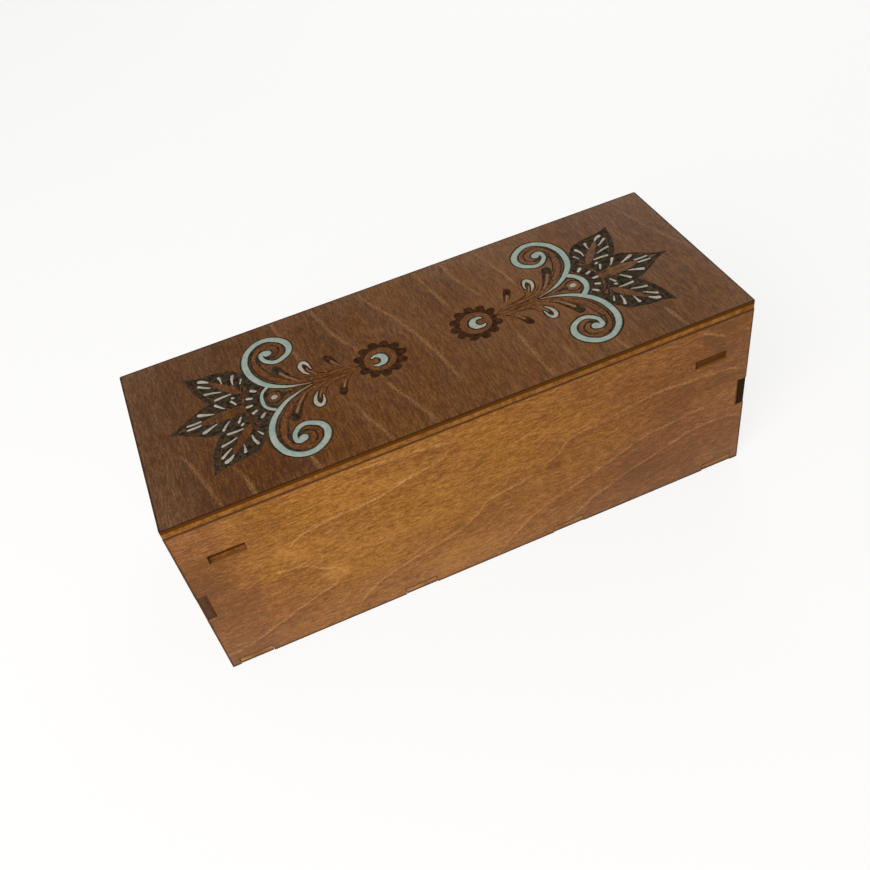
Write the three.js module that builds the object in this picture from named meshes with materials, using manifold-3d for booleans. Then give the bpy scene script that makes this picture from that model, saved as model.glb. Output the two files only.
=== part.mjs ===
// Embroidery box of laser-cut plywood with a lift-off lid, in millimetres, +Z up.
// The origin is the middle of the underside. +X runs to the right along the front,
// and +Y runs from the front to the back. Flat boards lock together by tenons, whose
// ends show in the slots and notches of the front and back panels.

import Module from 'manifold-3d';
import * as THREE from 'three';
import { mergeVertices } from 'three/addons/utils/BufferGeometryUtils.js';

const wasm = await Module();
wasm.setup();

// The closed box without its lid
const boxLength = 240;
const boxDepth = 92;
const wallHeight = 86;

// The sheet that every board is cut from, and how far its sharp edges are sanded down
const sheetThickness = 4;
const sandedEdge = 0.25;

// The tenons that lock the boards, and the cutting gap beside and over each of them
const tenonLength = 14;
const cutGap = 0.2;
const wallTenonRecess = 0.3;
const shelfTenonRecess = 1;

// From the rim down to the side panels' tenons, and to the top of the end shelves
const sideTenonDrop = 37;
const shelfDrop = 17;

// From one end of the bottom panel to its second row of tenons
const bottomTenonPitch = 74;

// The end shelves, measured along the box
const shelfWidth = 28;

// The lid: its rounded corners, and the play of its locating board in the box
const lidCornerRadius = 0.8;
const locatingBoardPlay = 0.5;

// Steps round each rounded corner of the lid
const cornerSteps = 5;

// How far a slot's cutter runs past the board's faces
const cutOverrun = 1;

// Stained birch plywood: golden brown walls, a chocolate brown lid and paler inner boards
const wallStain = { color: 0x95622f, roughness: 0.55, metalness: 0 };
const lidStain = { color: 0x64432b, roughness: 0.5, metalness: 0 };
const innerStain = { color: 0xa87c4c, roughness: 0.65, metalness: 0 };

// Sizes that several boards share
const innerLength = boxLength - 2 * sheetThickness;
const innerDepth = boxDepth - 2 * sheetThickness;
const notchDepth = sheetThickness + cutGap;
const wallTenonReach = sheetThickness - wallTenonRecess;
const shelfTenonReach = sheetThickness - shelfTenonRecess;
const sideTenonTop = wallHeight - sideTenonDrop;
const sideTenonBottom = sideTenonTop - tenonLength;
const shelfTop = wallHeight - shelfDrop;
const shelfUnderside = shelfTop - sheetThickness;

const box = new THREE.Group();

// A point where an outline doesn't turn adds nothing, nor does one that repeats the last.
function keepCorners(points) {
  const different = points.filter((point, i) => !point.equals(points.at(i - 1)));
  return different.filter((point, i) => {
    const arriving = point.clone().sub(different.at(i - 1));
    const leaving = different[(i + 1) % different.length].clone().sub(point);
    return arriving.cross(leaving) !== 0;
  });
}

// The outline of a board, anticlockwise from its lower left corner at (left, bottom).
// Steps on a side are tenons where their reach is positive, and notches where it is
// negative. They are measured along the side, from the left or from the bottom.
function steppedOutline({ left, bottom, width, height }, steps = {}) {
  const right = left + width;
  const top = bottom + height;
  const points = [];
  const follow = (place, sideSteps) => {
    for (const { from, to, reach } of sideSteps) {
      points.push(place(from, 0), place(from, reach), place(to, reach), place(to, 0));
    }
  };
  const reversed = (sideSteps) => {
    return [...sideSteps].reverse().map(({ from, to, reach }) => ({ from: to, to: from, reach }));
  };
  points.push(new THREE.Vector2(left, bottom));
  follow((along, out) => new THREE.Vector2(left + along, bottom - out), steps.bottom ?? []);
  points.push(new THREE.Vector2(right, bottom));
  follow((along, out) => new THREE.Vector2(right + out, bottom + along), steps.right ?? []);
  points.push(new THREE.Vector2(right, top));
  follow((along, out) => new THREE.Vector2(left + along, top + out), reversed(steps.top ?? []));
  points.push(new THREE.Vector2(left, top));
  follow((along, out) => new THREE.Vector2(left - out, bottom + along), reversed(steps.left ?? []));
  return new THREE.Shape(keepCorners(points));
}

// An outline given a thickness from zero upwards. Its edges slope at both faces by the
// edge's width: inwards where that is positive, and outwards where it is negative.
function extruded(outline, thickness, edgeWidth) {
  const edgeHeight = Math.abs(edgeWidth);
  const geometry = new THREE.ExtrudeGeometry(outline, {
    depth: thickness - 2 * edgeHeight,
    bevelEnabled: true,
    bevelThickness: edgeHeight,
    bevelSize: edgeWidth,
    bevelOffset: -edgeWidth,
    bevelSegments: 1,
    curveSegments: cornerSteps,
  });
  geometry.deleteAttribute('normal');
  geometry.deleteAttribute('uv');
  geometry.translate(0, 0, edgeHeight);
  return mergeVertices(geometry);
}

function solidFrom(geometry) {
  return new wasm.Manifold(new wasm.Mesh({
    numProp: 3,
    vertProperties: new Float32Array(geometry.attributes.position.array),
    triVerts: new Uint32Array(geometry.index.array),
  }));
}

function geometryFrom(solid) {
  const { vertProperties, triVerts } = solid.getMesh();
  const geometry = new THREE.BufferGeometry();
  geometry.setAttribute('position', new THREE.BufferAttribute(vertProperties, 3));
  geometry.setIndex(new THREE.BufferAttribute(triVerts, 1));
  return geometry;
}

// A board cut from the sheet, with slots right through it. Its outline lies across and
// up, and the sheet's thickness grows from the start along across x up.
function board(name, outline, stain, { across, up, start, slots = [] }) {
  let solid = solidFrom(extruded(outline, sheetThickness, sandedEdge));
  for (const slot of slots) {
    const cutter = extruded(slot, sheetThickness + 2 * cutOverrun, -sandedEdge - cutOverrun);
    cutter.translate(0, 0, -cutOverrun);
    solid = solid.subtract(solidFrom(cutter));
  }
  const geometry = geometryFrom(solid);
  geometry.applyMatrix4(new THREE.Matrix4().makeBasis(across, up, across.clone().cross(up)));
  const mesh = new THREE.Mesh(geometry, new THREE.MeshStandardMaterial(stain));
  mesh.name = name;
  mesh.position.copy(start);
  box.add(mesh);
}

const alongX = new THREE.Vector3(1, 0, 0);
const alongY = new THREE.Vector3(0, 1, 0);
const alongZ = new THREE.Vector3(0, 0, 1);

// A notch or slot is a tenon's length with the cutting gap at both ends.
function gapRound({ from, to }, reach) {
  return { from: from - cutGap, to: to + cutGap, reach };
}

// The bottom panel's tenons along the front and back, from its left end: two at the
// ends, and two that are the pitch away from them
const bottomTenons = [
  0,
  bottomTenonPitch,
  innerLength - bottomTenonPitch - tenonLength,
  innerLength - tenonLength,
].map((from) => ({ from, to: from + tenonLength, reach: wallTenonReach }));

// One tenon in the middle of each end of the bottom panel
const bottomEndTenon = {
  from: (innerDepth - tenonLength) / 2,
  to: (innerDepth + tenonLength) / 2,
  reach: wallTenonReach,
};

// Front and back panels: notches for the side panels' tenons at both ends, notches for
// the bottom panel's tenons along the lower edge, and a slot for each end shelf
const endNotch = {
  from: sideTenonBottom - cutGap,
  to: sideTenonTop + cutGap,
  reach: -notchDepth,
};
const lowerNotches = bottomTenons.map(({ from, to }) => {
  return gapRound({ from: from + sheetThickness, to: to + sheetThickness }, -notchDepth);
});
const longPanelOutline = steppedOutline(
  { left: -boxLength / 2, bottom: 0, width: boxLength, height: wallHeight },
  { bottom: lowerNotches, left: [endNotch], right: [endNotch] },
);
const shelfMiddle = (innerLength - shelfWidth) / 2;
const slotLength = tenonLength + 2 * cutGap;
const shelfSlots = [-shelfMiddle, shelfMiddle].map((middle) => steppedOutline({
  left: middle - slotLength / 2,
  bottom: shelfUnderside - cutGap,
  width: slotLength,
  height: sheetThickness + 2 * cutGap,
}));

function addLongPanel(name, innerFace) {
  board(name, longPanelOutline, wallStain, {
    across: alongX,
    up: alongZ,
    start: new THREE.Vector3(0, innerFace, 0),
    slots: shelfSlots,
  });
}

addLongPanel('front_panel', -innerDepth / 2);
addLongPanel('back_panel', boxDepth / 2);

// Side panels: between the front and back panels, with a tenon into each of them and a
// notch for the bottom panel's end tenon
const sideTenon = { from: sideTenonBottom, to: sideTenonTop, reach: wallTenonReach };
const sidePanelOutline = steppedOutline(
  { left: -innerDepth / 2, bottom: 0, width: innerDepth, height: wallHeight },
  { bottom: [gapRound(bottomEndTenon, -notchDepth)], left: [sideTenon], right: [sideTenon] },
);

function addSidePanel(name, leftFace) {
  board(name, sidePanelOutline, wallStain, {
    across: alongY,
    up: alongZ,
    start: new THREE.Vector3(leftFace, 0, 0),
  });
}

addSidePanel('left_side_panel', -boxLength / 2);
addSidePanel('right_side_panel', innerLength / 2);

// Bottom panel: lies between the four walls, flush with their lower edges
const bottomOutline = steppedOutline(
  { left: -innerLength / 2, bottom: -innerDepth / 2, width: innerLength, height: innerDepth },
  {
    bottom: bottomTenons,
    top: bottomTenons,
    left: [bottomEndTenon],
    right: [bottomEndTenon],
  },
);
board('bottom_panel', bottomOutline, innerStain, {
  across: alongX,
  up: alongY,
  start: new THREE.Vector3(0, 0, 0),
});

// End shelves: against each side panel, held by one tenon in the front panel and one in
// the back panel
const shelfTenon = {
  from: (shelfWidth - tenonLength) / 2,
  to: (shelfWidth + tenonLength) / 2,
  reach: shelfTenonReach,
};
const shelfOutline = steppedOutline(
  { left: -shelfWidth / 2, bottom: -innerDepth / 2, width: shelfWidth, height: innerDepth },
  { bottom: [shelfTenon], top: [shelfTenon] },
);

function addEndShelf(name, middle) {
  board(name, shelfOutline, innerStain, {
    across: alongX,
    up: alongY,
    start: new THREE.Vector3(middle, 0, shelfUnderside),
  });
}

addEndShelf('left_end_shelf', -shelfMiddle);
addEndShelf('right_end_shelf', shelfMiddle);

// Lid: a plain board of the box's own length and depth, with rounded corners
const lidOutline = new THREE.Shape();
const quarterTurn = Math.PI / 2;
[[1, -1], [1, 1], [-1, 1], [-1, -1]].forEach(([sideX, sideY], i) => {
  const middleX = sideX * (boxLength / 2 - lidCornerRadius);
  const middleY = sideY * (boxDepth / 2 - lidCornerRadius);
  const startAngle = (i - 1) * quarterTurn;
  const endAngle = i * quarterTurn;
  lidOutline.absarc(middleX, middleY, lidCornerRadius, startAngle, endAngle, false);
});

board('lid_board', lidOutline, lidStain, {
  across: alongX,
  up: alongY,
  start: new THREE.Vector3(0, 0, wallHeight),
});

// The board glued under the lid, which drops inside the walls and keeps the lid in place
const locatingLength = innerLength - 2 * locatingBoardPlay;
const locatingDepth = innerDepth - 2 * locatingBoardPlay;
const locatingOutline = steppedOutline({
  left: -locatingLength / 2,
  bottom: -locatingDepth / 2,
  width: locatingLength,
  height: locatingDepth,
});
board('lid_locating_board', locatingOutline, innerStain, {
  across: alongX,
  up: alongY,
  start: new THREE.Vector3(0, 0, wallHeight - sheetThickness),
});

export default box;
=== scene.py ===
import math
import random
from functools import partial

import bpy
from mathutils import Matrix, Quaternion, Vector


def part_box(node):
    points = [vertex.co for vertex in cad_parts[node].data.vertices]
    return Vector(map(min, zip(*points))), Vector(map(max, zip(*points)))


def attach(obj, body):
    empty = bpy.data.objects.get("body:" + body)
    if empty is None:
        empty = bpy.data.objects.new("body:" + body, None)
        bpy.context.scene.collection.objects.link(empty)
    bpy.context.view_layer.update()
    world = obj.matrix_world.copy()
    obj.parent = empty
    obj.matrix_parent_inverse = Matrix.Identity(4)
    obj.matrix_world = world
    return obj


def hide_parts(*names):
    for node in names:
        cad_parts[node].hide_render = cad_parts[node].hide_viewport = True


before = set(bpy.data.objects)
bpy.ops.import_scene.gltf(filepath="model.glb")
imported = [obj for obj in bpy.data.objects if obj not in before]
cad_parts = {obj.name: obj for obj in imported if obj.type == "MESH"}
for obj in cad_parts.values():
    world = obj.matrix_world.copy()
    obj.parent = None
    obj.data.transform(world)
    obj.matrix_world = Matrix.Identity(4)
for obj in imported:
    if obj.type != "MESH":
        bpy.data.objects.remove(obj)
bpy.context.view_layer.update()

MM = 0.001

# The lid board, which the ornament is burnt and painted on
LID_LOW, LID_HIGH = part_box("lid_board")
LID_TOP = LID_HIGH.z
LID_CORNER_RADIUS = 0.8 * MM
LID_CORNER_STEPS = 5
LID_ARRIS = 0.25 * MM
LID_ARRIS_STEPS = 3

# How deep the lines are burnt and scorched, and how far the char lies under the lid's face
BURN_DEPTH = 0.4 * MM
SCORCH_DEPTH = 0.14 * MM
CHAR_RECESS = 0.1 * MM

# The middle of a brush stroke's thickness, and the thickness as a share of its width
PAINT_LEVEL = LID_TOP - 0.02 * MM
PAINT_THICKNESS_SHARE = 0.14

# The carved faces are cut along a grid of about this width, so that each has few enough corners to
# be filled well
CARVING_CELL = 5 * MM

# How far a hand-drawn point strays from the pattern
HAND_WOBBLE = 0.12 * MM

# A stroke's round end is drawn at these angles from the way across it
ROUND_END_ANGLES = (35, 65, 86)

# How far a leaf's cutter reaches over and under the lid's face, and how near points are merged
LEAF_CUTTER_REACH = 1.5 * MM
MERGE_DISTANCE = 0.004 * MM


def linear(hex_colour):
    """An sRGB hex colour as the linear values that a shader takes."""
    channels = [int(hex_colour[i:i + 2], 16) / 255 for i in (1, 3, 5)]
    return [c / 12.92 if c <= 0.04045 else ((c + 0.055) / 1.055) ** 2.4 for c in channels] + [1.0]


def feed(node, inputs):
    """Gives a node its inputs, by name or in order. A value that is a node or a socket is linked, and
    any other is set."""
    used = [s for s in node.inputs if s.enabled]
    for place, value in inputs.items():
        socket = used[place] if isinstance(place, int) else next(s for s in used if s.name == place)
        if isinstance(value, bpy.types.Node):
            value = next(s for s in value.outputs if s.enabled)
        if isinstance(value, bpy.types.NodeSocket):
            node.id_data.links.new(value, socket)
        else:
            socket.default_value = value


# The setting that a node's kind carries after a dot, as in "Math.ADD"
CARRIED = {"Math": "operation", "VectorMath": "operation", "Mix": "data_type",
           "MapRange": "interpolation_type"}


def add_node(tree, kind, *values, inputs=None, **settings):
    """Adds a node with its settings. Values go to its inputs in order, and the others by their names."""
    kind, _, choice = kind.partition(".")
    made = tree.nodes.new("ShaderNode" + kind)
    if choice:
        settings[CARRIED[kind]] = choice
    for name, value in settings.items():
        setattr(made, name, value)
    feed(made, {**dict(enumerate(values)), **(inputs or {})})
    return made


def new_material(name):
    """An empty material, with add, the function that adds nodes to it, and its Principled shader."""
    material = bpy.data.materials.new(name)
    material.use_nodes = True
    tree = material.node_tree
    return material, partial(add_node, tree), tree.nodes["Principled BSDF"]


def deselect_all():
    for item in bpy.context.selected_objects:
        item.select_set(False)


def make_active(item):
    deselect_all()
    item.select_set(True)
    bpy.context.view_layer.objects.active = item


# Wood

# Rotary-cut birch. Its grain, from the widest pattern to the finest, in millimetres: how wide and
# how long the pattern is, how much detail it has, and how strongly it shades the stain
GRAIN = [(24, 48, 3.0, 0.2), (6, 50, 2.0, 0.14), (2.4, 5, 3.0, 0.22), (0.7, 3.6, 2.0, 0.66),
         (0.6, 1.0, 1.0, 0.5)]

# Its other patterns: how wide and how long they are, and how much detail they have. The pores are
# fine dark dashes. Real ones are thinner, and these are as coarse as they need to show
PORES = (0.32, 4.2, 1.0)
LINE_STRAYS = (6, 9, 3.0)
LINE_WAVERS = (1.3, 2.2, 2.0)
LINE_FADES = (5, 11, 1.0)
GROWTH_RINGS = (42, 190, 1.5)
STAIN_PATCHES = (14, 24, 3.0)
SMOKE_PUFFS = (3, 3, 3.0)
SOOT_SPOTS = (2, 7, 4.0)

# A pore starts and is full at these levels of its pattern, and darkens the stain
PORE_LEVELS = (0.58, 0.72)
PORE_DARKNESS = 0.24

# How far a seed shifts the grain across the board, as a share of how far it shifts it along
SEED_ACROSS = 0.7

# Where on the scale of tones the stain's deep, middle and light colour lie
STAIN_STOPS = (0.12, 0.5, 0.88)

# The growth rings come to the face as long pale flame lines, which stray, break, and fade at their
# ends. Breaks and fades turn levels of a pattern, the first two numbers, into a line's strength
FLAME_STRAY = 1.1 * MM
FLAME_WAVER = 0.5 * MM
FLAME_FADE = 0.07
FLAME_BREAKS = (0.36, 0.62, 0.25, 1.0)
FLAME_FADES = (0.38, 0.6, 0.45, 1.0)
RING_LINE = 0.045
RING_DARK_HALF = 0.5

# The wood on a flame line's lower side is darker and takes more stain. It starts at the line and
# fades out with the distance
LOWER_SIDE_START = (-1.5 * MM, 0.4 * MM)
LOWER_SIDE_FADE = (-11 * MM, -1 * MM)
LOWER_SIDE_DARKNESS = 0.1
LOWER_SIDE_SOAKING = 0.22

# How deep the stain soaks in over the levels of the patches, and how much of a flame line's
# strength goes where it did
PATCH_SOAKING = (0.3, 0.7, -0.25, 0.35)
FLAME_DULLING = 0.22

# Dark specks: one cell of the pattern holds one at the most, and few do
SPECK_CELL = 12 * MM
SPECK_RIM = (0.02, 0.06)
SPECK_CHANCE = 0.16
SPECK_STRENGTH = 0.5

# The bare wood that shows through a worn stain. Some zones mix it in as painted sheen.
BARE_WOOD = "#d8c4ac"

# The laser's smoke browns the last stretch of a face before its edge, here more and there less
SMOKED_RIM = 0.9 * MM
SMOKE_STRENGTH = 0.95
SMOKE_UNEVENNESS = 0.5

# A place belongs to a tenon when it is further out than this from the board's straight side
TENON_MARGIN = 0.1 * MM

# How far the light ply in a cut edge reaches to both sides, up to where it has ended, and how much
# of it shows through the soot
CORE_PLY = (0.75 * MM, 1.35 * MM)
CORE_IN_SOOT = (0.35, 0.65, 0.35, 1.0)

# How far the surface faces out of the sheet where the cut edge ends, and where the face is whole
FACE_TURN = (0.35, 0.9)

# A stain that soaked in leaves little to mirror the light, and is duller where the fibres stand up
WOOD_IOR = 1.5
WOOD_SHEEN = 0.12
FIBRE_LEVELS = (0.3, 0.7)
FIBRE_ROUGHNESS = (-0.06, 0.08)
FIBRE_RELIEF = {"Strength": 0.25, "Distance": 0.05 * MM}
PORE_DEPTH = 0.6


def curve_through(add, place, points, unit):
    """The height at a place of a smooth curve through points (place, height). The places are in
    millimetres, and the heights in the unit. Also how far along the curve the place is, from 0 to 1."""
    start, end = points[0][0], points[-1][0]
    low = min(height for _, height in points)
    span = max(height for _, height in points) - low
    run = add("MapRange", place, start * MM, end * MM)
    course = add("FloatCurve", 1.0, run)
    curve = course.mapping.curves[0]
    shares = [((at - start) / (end - start), (height - low) / span) for at, height in points]
    curve.points[0].location = shares[0]
    curve.points[1].location = shares[-1]
    for share in shares[1:-1]:
        curve.points.new(*share)
    course.mapping.update()
    return add("Math.MULTIPLY_ADD", course, span * unit, low * unit), run


def distance(add, value, middle):
    """How far a value lies from a middle, on either side of it."""
    return add("Math.ABSOLUTE", add("Math.SUBTRACT", value, middle))


def stretched_noise(add, board, width, length, detail, distortion=0.0):
    """Noise over the board with patches of a width across the grain and a length along it."""
    shaped = add("Mapping", board, inputs={"Scale": (width / length, 1.0, 1.0)})
    return add("TexNoise", inputs={"Vector": shaped, "Scale": 1 / (width * MM), "Detail": detail,
                                   "Distortion": distortion})


def ramp(add, level, colours, stops):
    """The colours that a level runs through, each at its stop."""
    made = add("ValToRGB", level)
    elements = made.color_ramp.elements
    for stop in stops[1:-1]:
        elements.new(stop)
    for element, colour, stop in zip(elements, colours, stops):
        element.color = linear(colour)
        element.position = stop
    return made


def flame_line(add, along, across, points, stray, width):
    """How much a place belongs to the flame line through the points (along, across), and how much
    it lies in the darker wood on the line's lower side."""
    course, run = curve_through(add, along, points, MM)
    past = add("Math.SUBTRACT", across, add("Math.ADD", course, stray))
    line = add("MapRange.SMOOTHSTEP", add("Math.ABSOLUTE", past), 0.0, width, 1.0, 0.0)
    both_ends = add("Math.MULTIPLY", run, add("Math.SUBTRACT", 1.0, run))
    faded = add("MapRange", both_ends, 0.0, FLAME_FADE)
    below = add("MapRange.SMOOTHSTEP", past, *LOWER_SIDE_START, 1.0, 0.0)
    near = add("MapRange", past, *LOWER_SIDE_FADE)
    shaded = add("Math.MULTIPLY", below, near)
    return add("Math.MULTIPLY", line, faded), add("Math.MULTIPLY", shaded, faded)


def zone_sum(add, zones, kind, ways):
    """What a board's zones of one kind add up to at a place."""
    total = 0.0
    for zone_kind, way, points in zones:
        if zone_kind == kind:
            share, _ = curve_through(add, ways[way], points, 1.0)
            total = add("Math.ADD", total, share)
    return total


def spot(add, along, across, x, y, radius, strength):
    """How much a round spot with a soft rim, its centre and radius in millimetres, adds to the tone."""
    aside = add("Math.SUBTRACT", along, x * MM)
    above = add("Math.SUBTRACT", across, y * MM)
    aside = add("Math.MULTIPLY", aside, aside)
    squares = add("Math.MULTIPLY_ADD", above, above, aside)
    return add("MapRange", squares, 0.0, (radius * MM) ** 2, strength, 0.0)


def stained_birch(name, node, axes, stain, flames=(), flame_width=1.0, zones=(), spots=(), rings=0.0,
                  roughness=0.55, tenons=(0.0, 0.0), core_rise=0.0, seed=0.0):
    """Birch plywood with a rubbed-in stain: a low sheen over fine wavy grain, pale flame lines, places where
    the stain soaked in deeper, and zones of painted light, painted shade and painted sheen where they are
    given. The axes name the grain's way, the way across it and the way through the sheet of the node's
    board. Tenons tells how far these stand out, in millimetres, at the ends of the first two, and the core's
    rise is how far the light ply in the board's edge lies off the middle."""
    material, add, shader = new_material(name)
    low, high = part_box(node)
    grain_axis, cross_axis, sheet_axis = ("XYZ".index(axis) for axis in axes)
    coordinates = add("TexCoord").outputs
    place, facing = (add("SeparateXYZ", coordinates[kind]) for kind in ("Object", "Normal"))
    along, across, through = (place.outputs[axis] for axis in axes)
    ways = {"along": along, "across": across}
    board = add("CombineXYZ", along, across, through)
    shifted = add("VectorMath.ADD", board, (seed, SEED_ACROSS * seed, 0.0))

    tone = 0.5
    for width, length, detail, weight in GRAIN:
        grain = stretched_noise(add, shifted, width, length, detail)
        centred = add("Math.SUBTRACT", grain, 0.5)
        tone = add("Math.MULTIPLY_ADD", centred, 2 * weight, tone)
    fleck = grain
    pore = stretched_noise(add, shifted, *PORES)
    dash = add("MapRange", pore, *PORE_LEVELS)
    tone = add("Math.MULTIPLY_ADD", dash, -PORE_DARKNESS, tone)
    tone = add("Math.ADD", tone, zone_sum(add, zones, "tone", ways))
    for details in spots:
        tone = add("Math.ADD", tone, spot(add, along, across, *details))

    # Flame lines where they are drawn, or the level lines of a slow noise on boards that have none
    stray = 0.0
    for pattern, reach in ((LINE_STRAYS, FLAME_STRAY), (LINE_WAVERS, FLAME_WAVER)):
        noise = stretched_noise(add, shifted, *pattern)
        swing = add("Math.MULTIPLY_ADD", noise, 2 * reach, -reach)
        stray = add("Math.ADD", stray, swing)
    lines = lower_sides = 0.0
    for points in flames:
        line, lower_side = flame_line(add, along, across, points, stray, flame_width * MM)
        lines = add("Math.MAXIMUM", lines, line)
        lower_sides = add("Math.MAXIMUM", lower_sides, lower_side)
    if rings:
        height = stretched_noise(add, shifted, *GROWTH_RINGS)
        part = add("Math.FRACT", add("Math.MULTIPLY", height, rings))
        lines = add("MapRange.SMOOTHSTEP", part, 0.0, RING_LINE, 1.0, 0.0)
        lower_sides = add("MapRange", part, RING_DARK_HALF, 1.0)
    tone = add("Math.MULTIPLY_ADD", lower_sides, -LOWER_SIDE_DARKNESS, tone)

    # How deep the stain soaked in: by large patches, below the flame lines, and towards the ends. The zones
    # add to it, some of them painted shade and some painted sheen.
    patches = stretched_noise(add, shifted, *STAIN_PATCHES)
    soaked_and_painted_light = add("MapRange", patches, *PATCH_SOAKING)
    soaked_and_painted_light = add("Math.MULTIPLY_ADD", lower_sides, LOWER_SIDE_SOAKING, soaked_and_painted_light)
    soaked_and_painted_light = add("Math.ADD", soaked_and_painted_light, zone_sum(add, zones, "soaked_and_painted_light", ways), use_clamp=True)
    stains = [ramp(add, tone, stain[kind], STAIN_STOPS) for kind in ("plain", "soaked_and_painted_light")]
    colour = add("Mix.RGBA", soaked_and_painted_light, *stains)

    broken = add("MapRange", fleck, *FLAME_BREAKS)
    faded = add("MapRange", stretched_noise(add, shifted, *LINE_FADES), *FLAME_FADES)
    pale = add("Math.MULTIPLY_ADD", soaked_and_painted_light, -FLAME_DULLING, stain["flame_strength"])
    for share in (broken, faded, pale):
        lines = add("Math.MULTIPLY", lines, share)
    colour = add("Mix.RGBA", lines, colour, linear(stain["flame"]))

    # Now and then a dark speck under a millimetre across
    specks = add("TexVoronoi", inputs={"Vector": shifted, "Scale": 1 / SPECK_CELL})
    chance = add("SeparateXYZ", specks.outputs["Color"])
    small = add("MapRange", specks.outputs["Distance"], *SPECK_RIM, SPECK_STRENGTH, 0.0)
    rare = add("Math.GREATER_THAN", chance.outputs["X"], 1 - SPECK_CHANCE)
    speck = add("Math.MULTIPLY", small, rare)
    face = add("Mix.RGBA", speck, colour, linear(stain["plain"][0]))

    # Handling rubs the stain thin towards some edges, where the pale wood greys it. In some zones this
    # greying is painted sheen.
    worn_and_sheen = add("Math.MAXIMUM", zone_sum(add, zones, "worn_and_sheen", ways), 0.0)
    face = add("Mix.RGBA", worn_and_sheen, face, linear(BARE_WOOD))

    # The laser's smoke along the outline of the face
    middle = (low + high) / 2
    rim = 1.0
    on_tenon = 0.0
    for way, axis, tenon in ((along, grain_axis, tenons[0]), (across, cross_axis, tenons[1])):
        half = (high - low)[axis] / 2 - tenon * MM
        inside = add("Math.SUBTRACT", half, distance(add, way, middle[axis]))
        beyond = add("Math.LESS_THAN", inside, -TENON_MARGIN)
        on_tenon = add("Math.MAXIMUM", on_tenon, beyond)
        rim = add("Math.MINIMUM", rim, add("Math.ABSOLUTE", inside))
    puffs = stretched_noise(add, board, *SMOKE_PUFFS)
    rim = add("Math.MULTIPLY_ADD", puffs, -SMOKE_UNEVENNESS * SMOKED_RIM, rim)
    smoked = add("MapRange.SMOOTHSTEP", rim, 0.0, SMOKED_RIM, SMOKE_STRENGTH, 0.0)
    smoked = add("Math.MAXIMUM", smoked, zone_sum(add, zones, "smoke", ways))
    face = add("Mix.RGBA", smoked, face, linear(stain["smoke"]))

    # The laser leaves the sheet's edges brown: dark outer plies, and a lighter one between them
    depth = distance(add, through, middle[sheet_axis] + core_rise * MM)
    core = add("MapRange.SMOOTHSTEP", depth, *CORE_PLY, 1.0, 0.0)
    clean = add("MapRange", stretched_noise(add, board, *SOOT_SPOTS), *CORE_IN_SOOT)
    core = add("Math.MULTIPLY", core, clean)
    edges = [add("Mix.RGBA", core, linear(outer), linear(inner))
             for outer, inner in (stain["edge"], stain.get("tenon", stain["edge"]))]
    edge = add("Mix.RGBA", on_tenon, *edges)
    facing_out = add("Math.ABSOLUTE", facing.outputs[axes[2]])
    on_face = add("MapRange", facing_out, *FACE_TURN)
    whole = add("Mix.RGBA", on_face, edge, face)

    dull = add("MapRange", fleck, *FIBRE_LEVELS, *(roughness + extra for extra in FIBRE_ROUGHNESS))
    sheen = add("Math.MULTIPLY", on_face, WOOD_SHEEN)
    relief = add("Math.MULTIPLY_ADD", dash, -PORE_DEPTH, fleck)
    bump = add("Bump", inputs={"Height": relief, **FIBRE_RELIEF})
    feed(shader, {"Base Color": whole, "Roughness": dull, "IOR": WOOD_IOR, "Specular IOR Level": sheen,
                  "Normal": bump})
    return material


# Each stain's colours on the face from deep to light, and in the cut edge of the outer plies and the
# light one between them
WALL_STAIN = {"plain": ("#754716", "#936023", "#b17b3a"), "soaked_and_painted_light": ("#67401d", "#804f27", "#9a663c"),
              "flame": "#c99860", "flame_strength": 0.66, "smoke": "#38220c", "edge": ("#7d4e22", "#90602f")}
LID_STAIN = {"plain": ("#482810", "#5f3915", "#764c22"), "soaked_and_painted_light": ("#4e3320", "#64452d", "#7a573c"),
             "flame": "#9a7146", "flame_strength": 0.7, "smoke": "#281607", "edge": ("#5c3408", "#956739")}
INNER_STAIN = {"plain": ("#72491d", "#966a38", "#b58852"), "soaked_and_painted_light": ("#64411f", "#84592f", "#a17648"),
               "flame": "#c49a66", "flame_strength": 0.5, "smoke": "#4d3115", "edge": ("#6c4823", "#7d552c")}

# The front's flame lines, in millimetres from the middle and up from the underside
FRONT_FLAMES = [
    [(-84.5, 47), (-82, 54), (-79, 58.6), (-74, 61.6), (-60, 63.7), (-41, 65.1), (-30, 68.7), (-18, 70.9),
     (-12.5, 75), (-10, 80)],
    [(-50, 82.8), (-28, 81.2), (-16, 79.6), (-8, 77.6)],
    [(-90, 46.4), (-84, 45), (-78, 43.7), (-72, 38.7), (-66, 34.4), (-62, 28)],
    [(-122, 8.4), (-107, 10.9), (-97, 15.1), (-87, 19.4), (-78, 23), (-68, 26.6), (-61, 32)],
    [(-66, 0), (-58, 10.9), (-50, 16.6), (-35, 21.6), (-21, 25.1), (-11, 28.7), (-5, 33), (0, 38), (15, 41),
     (24, 42)],
    [(22, 44), (33, 49.4), (36, 53.7), (43, 56), (58, 58), (69, 60), (79, 61), (93, 60), (108, 58.7),
     (122, 53)],
    [(-1, -2), (3, 3.7), (12, 12.3), (22, 19.4), (33, 23.7), (43, 27.3), (55, 31.6), (63, 35.1), (73, 38.7),
     (86, 40.1), (106, 42)],
    [(25, -1), (43, 10.1), (48, 13.7), (55, 16.6), (63, 20.1), (72, 23), (83, 26.6), (93, 30.1),
     (105, 30.9), (122, 26)],
    [(97, 83), (108, 77)],
]
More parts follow.
